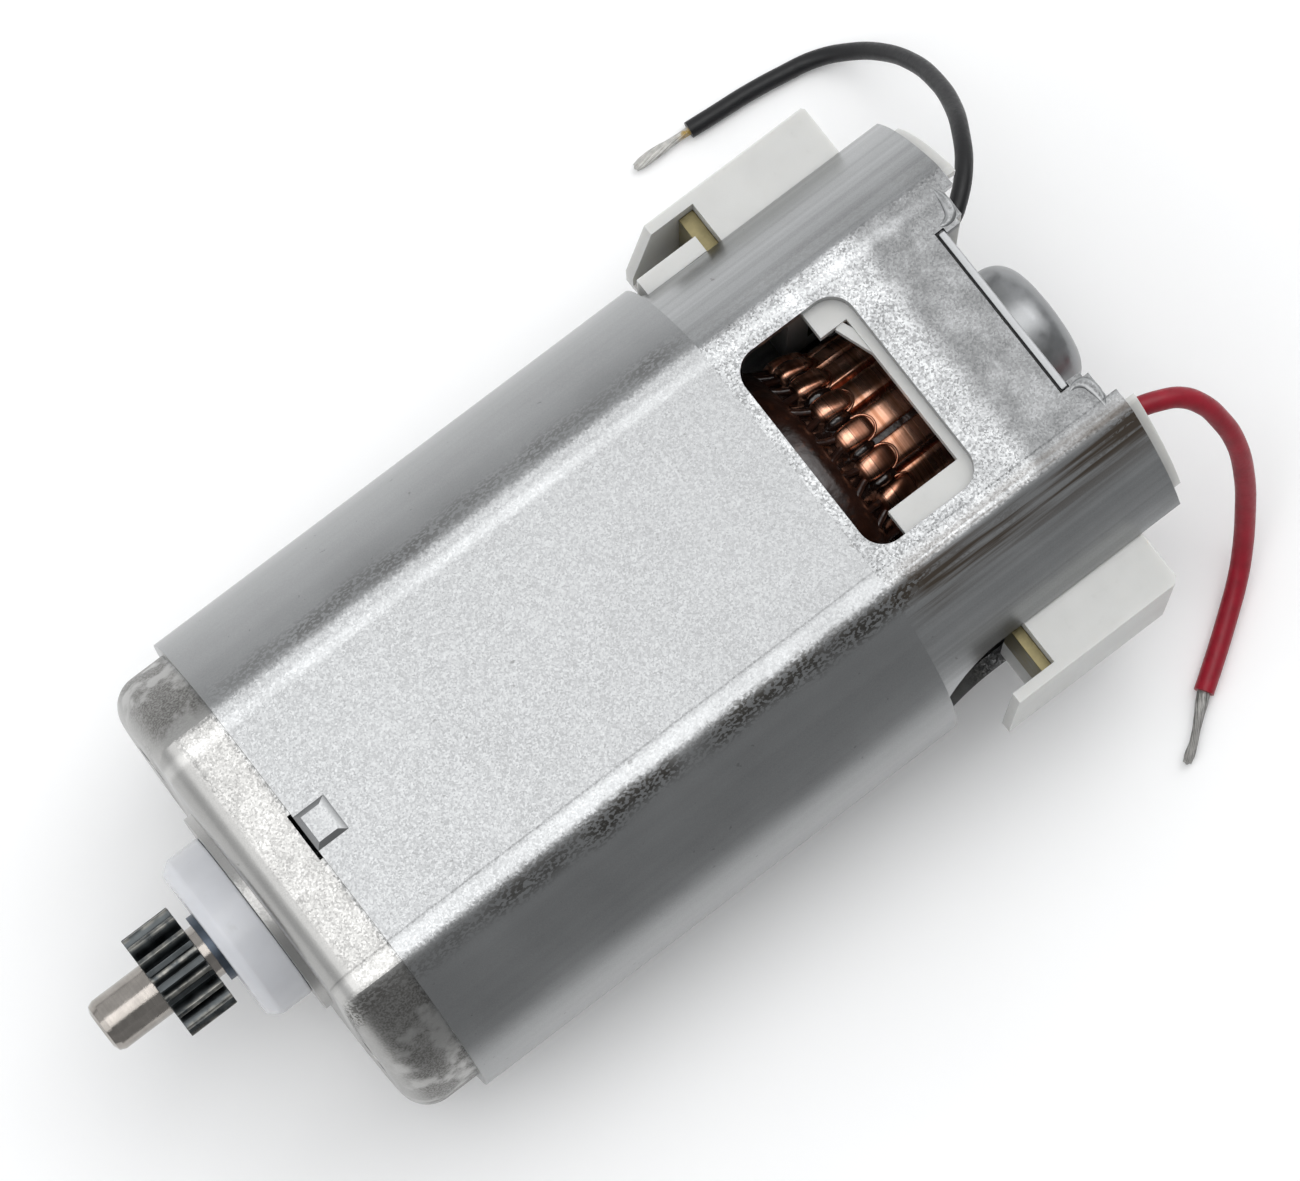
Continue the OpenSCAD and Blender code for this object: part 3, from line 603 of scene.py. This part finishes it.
# Scratches on the ring: centre, radius and reach of each arc
RING_MARKS = [((-25.3, 2.4), 1.5, 1.6), ((-20.0, 5.6), 5.0, 2.0), ((-36.0, -4.5), 3.4, 1.4)]
RING = zinc_steel("ring_zinc", scratches=RING_MARKS)
PLATE = plain_metal("plate_zinc", (0.29, 0.295, 0.30), 0.34, 0.1)
NYLON = plastic("white_nylon", (0.63, 0.64, 0.67), 0.22, 0.35, 0.002)
WHITE = plastic("off_white_moulding", (0.56, 0.56, 0.545), 0.42, 0.55)
IRON = plain_metal("oiled_iron", (0.10, 0.12, 0.15))
SPRING = plain_metal("spring_steel", (0.36, 0.37, 0.38))
GROUND = plain_metal("ground_steel", (0.34, 0.315, 0.29), 0.10, 0.10, 0.05)
BRASS = plain_metal("stamped_brass", (0.20, 0.172, 0.092), 0.42)
BRONZE = plain_metal("sintered_bronze", (0.36, 0.22, 0.11), 0.45)
CORE = plain_metal("lamination_edges", (0.16, 0.16, 0.17), 0.45, 0.2, 0.35)
FERRITE = plastic("ferrite", (0.035, 0.035, 0.038), 0.5, 0.0, 0.02)
CARBON = plastic("brush_carbon", (0.03, 0.03, 0.03), 0.5, 0.0, 0.02)
FIBRE = plastic("green_fibre", (0.04, 0.14, 0.07), 0.5, 0.0, 0.02)
BAR_COPPER = copper("worn_copper", (0.42, 0.19, 0.11), (0.74, 0.43, 0.31), 0.24)
TANG_COPPER = copper("tang_copper", (0.48, 0.20, 0.12), (0.72, 0.40, 0.28), 0.24)
VARNISH = varnish("dark_varnish", (0.010, 0.005, 0.004))
WIRE = varnish("varnished_wire", (0.022, 0.008, 0.005), 0.28)
RESIN = varnish("moulding_resin", (0.02, 0.011, 0.008), 0.25)
TINNED = {
    "black": tinned("tinned_grey", 0.50, -57.5),
    "red": tinned("tinned_dark", 0.30, -80.0),
}

# Materials of the CAD nodes; the others are of spring steel
LOOKS = {
    "magnet_left": FERRITE,
    "magnet_right": FERRITE,
    "front_bearing": IRON,
    "rear_bearing": BRONZE,
    "brush_tube_left": BRASS,
    "brush_tube_right": BRASS,
    "shaft": GROUND,
    "armature_core": CORE,
    "insulator_front": FIBRE,
    "insulator_rear": FIBRE,
    "windings": WIRE,
    "commutator_hub": RESIN,
    "spacer_front": NYLON,
    "thrust_washer_front": NYLON,
    "thrust_washer_rear": NYLON,
    "brush_left": CARBON,
    "brush_right": CARBON,
}
for node_name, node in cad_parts.items():
    node.data.materials.clear()
    node.data.materials.append(LOOKS.get(node_name, SPRING))

leads["black"].data.materials.append(insulation("black_pvc", (0.008, 0.008, 0.009)))
leads["red"].data.materials.append(insulation("red_pvc", (0.26, 0.006, 0.018)))
floor.data.materials.append(paper_floor())
card.data.materials.append(grey_paint())


# ---------------------------------------------------------------- piece helpers

# How soft_copy treats a CAD mesh: the gap it welds in metres, and angles in degrees
WELD = 2e-6
FLAT_ANGLE = 0.6
EDGE_ANGLE = 32
PROUD_WIDTH = 0.38


def add_piece(name, data, body, look, replaces=()):
    """Links a new piece with its material, and lets it ride on a body."""
    piece = bpy.data.objects.new(name, data)
    bpy.context.scene.collection.objects.link(piece)
    data.materials.clear()
    data.materials.append(look)
    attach(piece, body)
    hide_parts(*replaces)
    return piece


def finished_mesh(name, bm, sharp=38):
    """A smooth-shaded mesh whose edges over the sharp angle stay crisp."""
    bmesh.ops.recalc_face_normals(bm, faces=bm.faces)
    mesh = bpy.data.meshes.new(name)
    bm.to_mesh(mesh)
    bm.free()
    stored = mesh.attributes.get("custom_normal")
    if stored:
        mesh.attributes.remove(stored)
    mesh.polygons.foreach_set("use_smooth", [True] * len(mesh.polygons))
    mesh.set_sharp_from_angle(angle=math.radians(sharp))
    return mesh


def ease_edges(bm, edges, width, segments):
    """Bevels some edges of a mesh, by a width in millimetres."""
    offset = width * MM
    shape = {"segments": segments, "profile": 0.5, "affect": "EDGES", "clamp_overlap": True}
    bmesh.ops.bevel(bm, geom=edges, offset=offset, **shape)


def is_sharp(edge):
    """True for an edge where two faces meet at a clear angle."""
    return len(edge.link_faces) == 2 and edge.calc_face_angle(0) > math.radians(EDGE_ANGLE)


def soft_copy(node, width, body, look, proud=None):
    """A copy of a CAD node with its sharp edges rounded, in place of the node.

    Edges that stand above the height proud are rounded more.
    """
    bm = bmesh.new()
    bm.from_mesh(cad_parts[node].data)
    bmesh.ops.remove_doubles(bm, verts=bm.verts, dist=WELD)
    flat = math.radians(FLAT_ANGLE)
    bmesh.ops.dissolve_limit(bm, angle_limit=flat, verts=bm.verts, edges=bm.edges)
    if proud:
        high = [e for e in bm.edges if min(v.co.z for v in e.verts) > proud * MM]
        ease_edges(bm, high, PROUD_WIDTH, 1)
    ease_edges(bm, [e for e in bm.edges if is_sharp(e)], width, 2)
    piece = add_piece(f"{node}_finished", finished_mesh(node, bm), body, look, [node])
    weighted = piece.modifiers.new("weighted", "WEIGHTED_NORMAL")
    weighted.keep_sharp = True


def loft(bm, rings):
    """Joins rings of points, each as long as the next, into one closed skin."""
    rows = [[bm.verts.new(point) for point in ring] for ring in rings]
    for a, b in zip(rows, rows[1:]):
        for i in range(len(a)):
            j = (i + 1) % len(a)
            bm.faces.new((a[i], a[j], b[j], b[i]))
    bm.faces.new(rows[0])
    bm.faces.new(rows[-1])


def circle(count):
    """Evenly spaced angles round a full turn, in radians."""
    return [math.radians(360 / count * k) for k in range(count)]


def around(x, r, angle):
    """The point at a place along the shaft, a radius and an angle about the shaft."""
    a = math.radians(angle)
    return mm(x, r * math.cos(a), r * math.sin(a))


def aside(angle):
    """One millimetre along the tangent at an angle about the shaft."""
    a = math.radians(angle)
    return mm(0, -math.sin(a), math.cos(a))


def wires(name, routes, radius, body, look, smooth=4):
    """Round wires along several routes, as one piece."""
    return add_piece(name, swept(name, routes, radius, 2, smooth), body, look)


# ---------------------------------------------------------------- stator pieces

# Height above which the ring has only its raised dimple
DIMPLE_FOOT = 15.5

soft_copy("can", 0.16, "stator", CAN)
soft_copy("flux_ring", 0.16, "stator", RING, proud=DIMPLE_FOOT)
soft_copy("rear_plate", 0.14, "stator", PLATE)
soft_copy("brush_carrier", 0.14, "stator", WHITE)
soft_copy("front_collar", 0.2, "stator", NYLON)
soft_copy("terminal_left", 0.08, "stator", BRASS)
soft_copy("terminal_right", 0.08, "stator", BRASS)
soft_copy("pinion", 0.06, "rotor", gear_steel())


# ---------------------------------------------------------------- commutator

# Bars, the angle of the gap before the first one, and half a bar, in degrees
BARS = 20
PHASE = 83.4
PITCH = 360 / BARS
HALF_BAR = 7.16
HUB_R = 6.5
EDGE_DROP = 0.08
# Places along the shaft and radii of a bar's top, with the worn track in its middle
BAR_STATIONS = [
    (-61.0, 7.66), (-60.9, 7.80), (-60.7, 7.80), (-60.5, 7.74),
    (-55.0, 7.74), (-54.8, 7.80), (-52.2, 7.80), (-52.0, 7.70),
]  # fmt: skip
BAR_ACROSS = (-1.0, -0.92, -0.5, 0.0, 0.5, 0.92, 1.0)


def bar_angle(k):
    """Angle of the middle of a commutator bar."""
    return PHASE + PITCH * (k + 0.5)


def commutator_segments():
    """Copper bars with eased edges and the shallow track that the brushes wear."""
    bm = bmesh.new()
    for k in range(BARS):
        rings = []
        for x, r in BAR_STATIONS:
            outer = [
                around(x, r - (EDGE_DROP if abs(t) == 1 else 0), bar_angle(k) + t * HALF_BAR)
                for t in BAR_ACROSS
            ]
            inner = [around(x, HUB_R, bar_angle(k) + t * HALF_BAR) for t in (1, -1)]
            rings.append(outer + inner)
        loft(bm, rings)
    return finished_mesh("commutator_segments", bm, 50)


# Place along the shaft, top radius, half width and bottom radius of a tongue
TANG_STATIONS = [
    (-49.75, 8.15, 0.45, 7.9), (-49.85, 8.80, 0.78, 7.6), (-50.45, 9.02, 0.95, 7.6),
    (-51.2, 8.88, 0.98, 7.6), (-51.9, 8.62, 0.95, 7.7), (-52.4, 8.45, 0.85, 7.7),
    (-52.7, 8.1, 0.45, 7.75),
]  # fmt: skip
# How far a tongue may lean, in degrees, and sink
TANG_LEAN, TANG_SLUMP = 0.6, 0.05
TANG_RING = [(-1, 0), (-0.8, 0.8), (0, 1), (0.8, 0.8), (1, 0), (0.85, -1), (0, -1), (-0.85, -1)]


def tangs():
    """The tongues folded over the coil wires at the front of each bar."""
    bm = bmesh.new()
    dice = random.Random(4)
    for k in range(BARS):
        angle = bar_angle(k) + dice.uniform(-TANG_LEAN, TANG_LEAN)
        rings = []
        for x, top, half, bottom in TANG_STATIONS:
            middle, rise = (top + bottom) / 2, (top - bottom) / 2
            slump = dice.uniform(-TANG_SLUMP, TANG_SLUMP)
            rings.append([
                around(x, middle + v * rise + slump, angle) + aside(angle) * (u * half)
                for u, v in TANG_RING
            ])
        loft(bm, rings)
    return finished_mesh("tangs", bm, 180)


# The arc of the ridge round a tongue's tip: its middle, radius, reach and half width
SEAT_X, SEAT_R, SEAT_REACH, SEAT_HALF = -51.75, 7.84, 1.15, 0.98
SEAT_WIRE_R = 0.10


def tang_seats():
    """The ridge pressed up round the tip of each tongue."""
    routes = []
    for k in range(BARS):
        routes.append([
            around(SEAT_X - SEAT_REACH * math.cos(math.radians(t)), SEAT_R, bar_angle(k))
            + aside(bar_angle(k)) * (SEAT_HALF * math.sin(math.radians(t)))
            for t in range(-90, 91, 30)
        ])
    return routes


# A varnish drop: its front end, length, radius of its foot, half width and height
BEAD_X, BEAD_LENGTH, BEAD_FOOT, BEAD_HALF, BEAD_HEIGHT = -49.75, 2.35, 7.72, 0.62, 0.92
# How far it may sit off the gap, in degrees, and how small and large it may be
BEAD_LEAN, BEAD_SIZES = 1.2, (0.85, 1.12)


def varnish_beads():
    """Drops of varnish that stand between the tongues."""
    bm = bmesh.new()
    dice = random.Random(11)
    for k in range(BARS):
        angle = PHASE + PITCH * k + dice.uniform(-BEAD_LEAN, BEAD_LEAN)
        size = dice.uniform(*BEAD_SIZES)
        rings = []
        for i in range(7):
            t = i / 6
            x = BEAD_X - BEAD_LENGTH * size * t
            swell = math.sin(math.pi * (0.08 + 0.86 * t)) ** 0.7
            width, height = BEAD_HALF * size * swell, BEAD_HEIGHT * size * swell
            rings.append([
                around(x, BEAD_FOOT + height * math.sin(a), angle)
                + aside(angle) * (width * math.cos(a))
                for a in circle(8)
            ])
        loft(bm, rings)
    return finished_mesh("varnish_beads", bm, 180)


# Places along the shaft and radii of the varnish over the coil ends
SKIRT_PROFILE = [
    (-52.1, 7.5), (-51.6, 7.78), (-50.6, 7.86), (-49.9, 8.05),
    (-49.3, 8.55), (-48.6, 9.25), (-47.8, 9.6),
]  # fmt: skip
SKIRT_STEPS = 160
# Its ripple and roughness for each millimetre above the radius where it is smooth
SKIRT_RIPPLE, SKIRT_ROUGH, SKIRT_CALM_R = 0.10, 0.06, 7.4


def varnish_skirt():
    """Varnish run over the coil ends and under the tongues, rippled by the wires."""
    bm = bmesh.new()
    dice = random.Random(5)
    jitter = [dice.uniform(-SKIRT_ROUGH, SKIRT_ROUGH) for _ in range(SKIRT_STEPS)]
    rings = []
    for x, r in SKIRT_PROFILE:
        ring = []
        for i in range(SKIRT_STEPS):
            angle = 360 * i / SKIRT_STEPS
            ripple = SKIRT_RIPPLE * math.cos(math.radians(2 * BARS * (angle - PHASE)))
            ring.append(around(x, r + (ripple + jitter[i]) * (r - SKIRT_CALM_R), angle))
        rings.append(ring)
    loft(bm, rings)
    return finished_mesh("varnish_skirt", bm, 180)


def smoothed(piece, levels):
    """Catmull-Clark subdivision, the same on screen and in the render."""
    subsurf = piece.modifiers.new("smooth", "SUBSURF")
    subsurf.levels = subsurf.render_levels = levels
    return piece


segments = commutator_segments()
add_piece("commutator_segments", segments, "rotor", BAR_COPPER, ["commutator_bars"])
smoothed(add_piece("commutator_tangs", tangs(), "rotor", TANG_COPPER), 2)
wires("tang_seats", tang_seats(), SEAT_WIRE_R, "rotor", TANG_COPPER)
smoothed(add_piece("varnish_beads", varnish_beads(), "rotor", VARNISH), 2)
smoothed(add_piece("varnish_skirt", varnish_skirt(), "rotor", VARNISH), 1)


# ---------------------------------------------------------------- coils

COILS = 10
TURNS = 7
WIRE_R = 0.27
RISER_R = 0.26
# A riser wire's place beside the middle of its bar, and its lean, in degrees
RISER_ASIDE, RISER_LEAN = 2.2, 9
# Where the first coil starts and how far each one spans, in degrees
FIRST_COIL = 18
COIL_SPAN = 144
# Radii between which a turn leaves its slot, and how far it dips towards the shaft
SLOT_LOW, SLOT_HIGH = 8.4, 9.95
TURN_DIP = 3.4
# How far the first turn stands out from the stack, and how much further the last does
TURN_REACH = 3.2
TURN_STAGGER = 2.0
# Ends of the stack: seed, place along the shaft and the way out
REAR_END = (7, -43.5, -1)
FRONT_END = (8, -13.5, 1)
# Place along the shaft, radius and share of its lean of a riser wire's knots
RISER_KNOTS = [
    (-50.3, 8.25, 0), (-49.5, 8.6, 0.15), (-48.5, 9.15, 0.4),
    (-47.2, 9.5, 0.8), (-45.8, 9.5, 1.3),
]  # fmt: skip


def end_turns(seed, slot_x, out):
    """Wires that cross from slot to slot over one end of the stack."""
    dice = random.Random(seed)
    routes = []
    for coil in range(COILS):
        for turn in range(TURNS):
            start = 360 * coil / COILS + FIRST_COIL + dice.uniform(-4, 4)
            span = COIL_SPAN + dice.uniform(-5, 5)
            high = dice.uniform(SLOT_LOW, SLOT_HIGH)
            reach = TURN_REACH + TURN_STAGGER * turn / TURNS
            route = []
            for i in range(9):
                t = i / 8
                bulge = math.sin(math.pi * t) ** 0.55
                r = high - TURN_DIP * math.sin(math.pi * t) ** 2
                route.append(around(slot_x + out * reach * bulge, r, start + span * t))
            routes.append(route)
    return routes


def riser_wires():
    """Two coil wires up to each tongue."""
    dice = random.Random(9)
    routes = []
    for k in range(BARS):
        for lean in (-1, 1):
            angle = bar_angle(k) + lean * RISER_ASIDE
            away = lean * RISER_LEAN + dice.uniform(-3, 3)
            routes.append([around(x, r, angle + away * share) for x, r, share in RISER_KNOTS])
    return routes


wires("coil_ends_rear", end_turns(*REAR_END), WIRE_R, "rotor", WIRE, 3)
wires("coil_ends_front", end_turns(*FRONT_END), WIRE_R, "rotor", WIRE, 3)
wires("riser_wires", riser_wires(), RISER_R, "rotor", WIRE, 4)


# ---------------------------------------------------------------- lead tips

TIP_ROUTES = {
    "black": [
        (-59.2, -28.25, -14.6), (-57.0, -28.35, -14.6),
        (-55.4, -28.45, -14.62), (-53.9, -28.45, -14.7),
    ],
    "red": [
        (-62.9, 25.75, -14.5), (-61.2, 27.2, -14.5),
        (-59.8, 28.4, -14.52), (-58.45, 29.3, -14.6),
    ],
}  # fmt: skip
# Half widths of each tip at even steps from the insulation to the free end
TIP_WIDTHS = {
    "black": (0.34, 0.30, 0.33, 0.42, 0.45, 0.43, 0.30),
    "red": (0.50, 0.47, 0.36, 0.30, 0.31, 0.38, 0.30),
}
STRANDS = 11
STRAND_R = 0.075
STRAND_TWIST = 130
STRAND_STEPS = 16
STRAND_END = 0.97
STRAND_RISE = 0.25
SOLDER_STEPS = 24
SOLDER_RISE = 0.30
# How much of its height a tip loses towards its free end
TIP_FLATTENING = 0.45


def tip_frame(route, t):
    """The middle of a tip and its sideways direction, at t from 0 to 1 along it."""
    points = [Vector(p) for p in route]
    i = min(int(t * 3), 2)
    across = (points[-1] - points[0]).normalized().cross(Vector((0, 0, 1)))
    return points[i].lerp(points[i + 1], t * 3 - i), across


def tip_width(widths, t):
    """Half the width of a tip at t from 0 to 1 along it, eased between the given ones."""
    i = min(int(t * 6), 5)
    ease = t * 6 - i
    ease = ease * ease * (3 - 2 * ease)
    return widths[i] * (1 - ease) + widths[i + 1] * ease


def tip_strands(route, widths):
    """Strands twisted about the route, pressed flat towards the free end."""
    routes = []
    for strand in range(STRANDS):
        knots = []
        for i in range(STRAND_STEPS + 1):
            t = STRAND_END * i / STRAND_STEPS
            centre, across = tip_frame(route, t)
            turn = math.radians(360 * strand / STRANDS + STRAND_TWIST * t)
            width = tip_width(widths, t) - STRAND_R
            height = STRAND_RISE * (1 - TIP_FLATTENING * t)
            offset = across * (math.cos(turn) * width) + Vector((0, 0, math.sin(turn) * height))
            knots.append(mm(*(centre + offset)))
        routes.append(knots)
    return routes


def solder_core(route, widths):
    """The solder that fills the strands and rounds off their end."""
    bm = bmesh.new()
    rings = []
    for i in range(SOLDER_STEPS + 1):
        t = i / SOLDER_STEPS
        centre, across = tip_frame(route, t)
        end = math.sqrt(max(0.02, 1 - max(0.0, (t - 0.9) / 0.1) ** 2))
        width = tip_width(widths, t) * end
        height = SOLDER_RISE * (1 - TIP_FLATTENING * t) * end
        rings.append([
            mm(*(centre + across * (math.cos(a) * width) + Vector((0, 0, math.sin(a) * height))))
            for a in circle(12)
        ])
    loft(bm, rings)
    return finished_mesh("solder_core", bm, 60)


for colour, route in TIP_ROUTES.items():
    strands = tip_strands(route, TIP_WIDTHS[colour])
    core = solder_core(route, TIP_WIDTHS[colour])
    tip = wires(f"{colour}_strands", strands, STRAND_R, "stator", TINNED[colour])
    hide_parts(f"lead_tip_{colour}")
    solder = add_piece(f"{colour}_solder", core, "stator", TINNED[colour])


# ---------------------------------------------------------------- staked corners

# The ridge that the punch raised at the left corner of the notch, seen from above
RIDGE = [
    (-63.45, 7.05), (-64.1, 6.98), (-64.6, 7.25),
    (-64.82, 7.85), (-64.85, 8.6), (-64.75, 9.3),
]  # fmt: skip
RIDGE_WIDTH = 0.42
RIDGE_HEIGHT = 0.24
RIDGE_SUNK = 0.04
CAN_TOP = 14.4


def staked_ridges(side):
    """The ridges on the can's top and bottom, thick in the middle and thin at the ends."""
    bm = bmesh.new()
    for up in (1, -1):
        line = smooth_line([mm(x, side * y, up * (CAN_TOP - RIDGE_SUNK)) for x, y in RIDGE])
        rings = []
        for i, point in enumerate(line):
            ahead = line[min(i + 1, len(line) - 1)] - line[max(i - 1, 0)]
            across = ahead.normalized().cross(Vector((0, 0, 1)))
            swell = math.sin(math.pi * (0.03 + 0.94 * i / (len(line) - 1))) ** 0.8
            rings.append([
                point
                + across * (RIDGE_WIDTH * MM * swell * math.cos(a))
                + Vector((0, 0, RIDGE_HEIGHT * MM * swell * math.sin(a)))
                for a in circle(15)
            ])
        loft(bm, rings)
    return finished_mesh("staked_ridges", bm, 60)


for side, name in SIDES:
    add_piece(f"staked_ridges_{name}", staked_ridges(side), "stator", CAN)


# ---------------------------------------------------------------- brush springs

SPRING_TURNS = 5
SPRING_WIRE_R = 0.2
# Points in each turn of a spring
TURN_STEPS = 12


def coil_spring(side, name):
    """The centreline of a spring in its CAD node's box, and the box's near and far end."""
    low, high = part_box(f"brush_spring_{name}")
    near, far = sorted((abs(low[1]), abs(high[1])))
    middle = (low[0] + high[0]) / 2
    turn = (high[0] - low[0]) / 2 - SPRING_WIRE_R * MM
    start, rise = near + SPRING_WIRE_R * MM, far - near - 2 * SPRING_WIRE_R * MM
    steps = TURN_STEPS * SPRING_TURNS
    route = [
        Vector((
            middle + turn * math.cos(2 * math.pi * i / TURN_STEPS),
            side * (start + rise * i / steps),
            turn * math.sin(2 * math.pi * i / TURN_STEPS),
        ))
        for i in range(steps + 1)
    ]
    return route, near, far


for side, name in SIDES:
    route, near, far = coil_spring(side, name)
    coil = f"brush_coil_{name}"
    spring = wires(coil, [route], SPRING_WIRE_R, "stator", SPRING, 3)
    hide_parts(f"brush_spring_{name}")
    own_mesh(spring)
